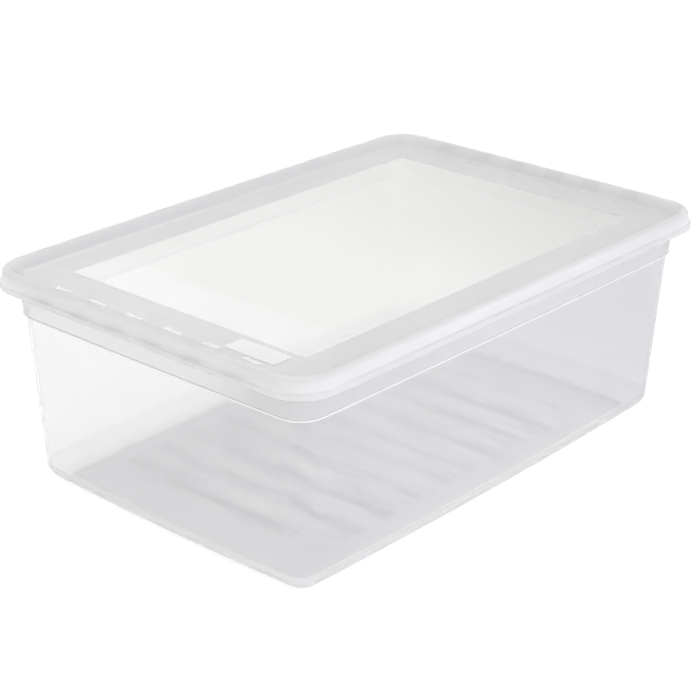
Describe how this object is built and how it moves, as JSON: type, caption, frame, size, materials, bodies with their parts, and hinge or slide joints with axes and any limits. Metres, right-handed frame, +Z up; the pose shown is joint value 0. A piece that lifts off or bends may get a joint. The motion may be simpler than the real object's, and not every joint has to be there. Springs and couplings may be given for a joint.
{
  "type": "lidded shoe storage box",
  "caption": "Translucent stackable plastic storage box for a pair of shoes, with tapered tub, stepped collar, ribbed floor and a lift-off press-on lid with a sunken stacking seat.",
  "frame": {"origin": "centre of the tub's underside, on the plane the box rests on", "axes": "+X along the long side, +Y along the short side, +Z up; the blank plaque is at the -X, -Y corner of the lid"},
  "size_m": [0.39, 0.266, 0.1424],
  "materials": {
    "tub_clear": "clear natural polypropylene, polished walls",
    "lid_frosted": "natural polypropylene, fine matte texture with a polished window"
  },
  "bodies": {
    "tub": {"tub": "tub_clear"},
    "lid": {"lid": "lid_frosted"}
  },
  "joints": [
    {"name": "lid_lift", "type": "slide", "parent": "tub", "child": "lid", "axis": [0, 0, 1], "range_m": [0, 0.16]}
  ]
}
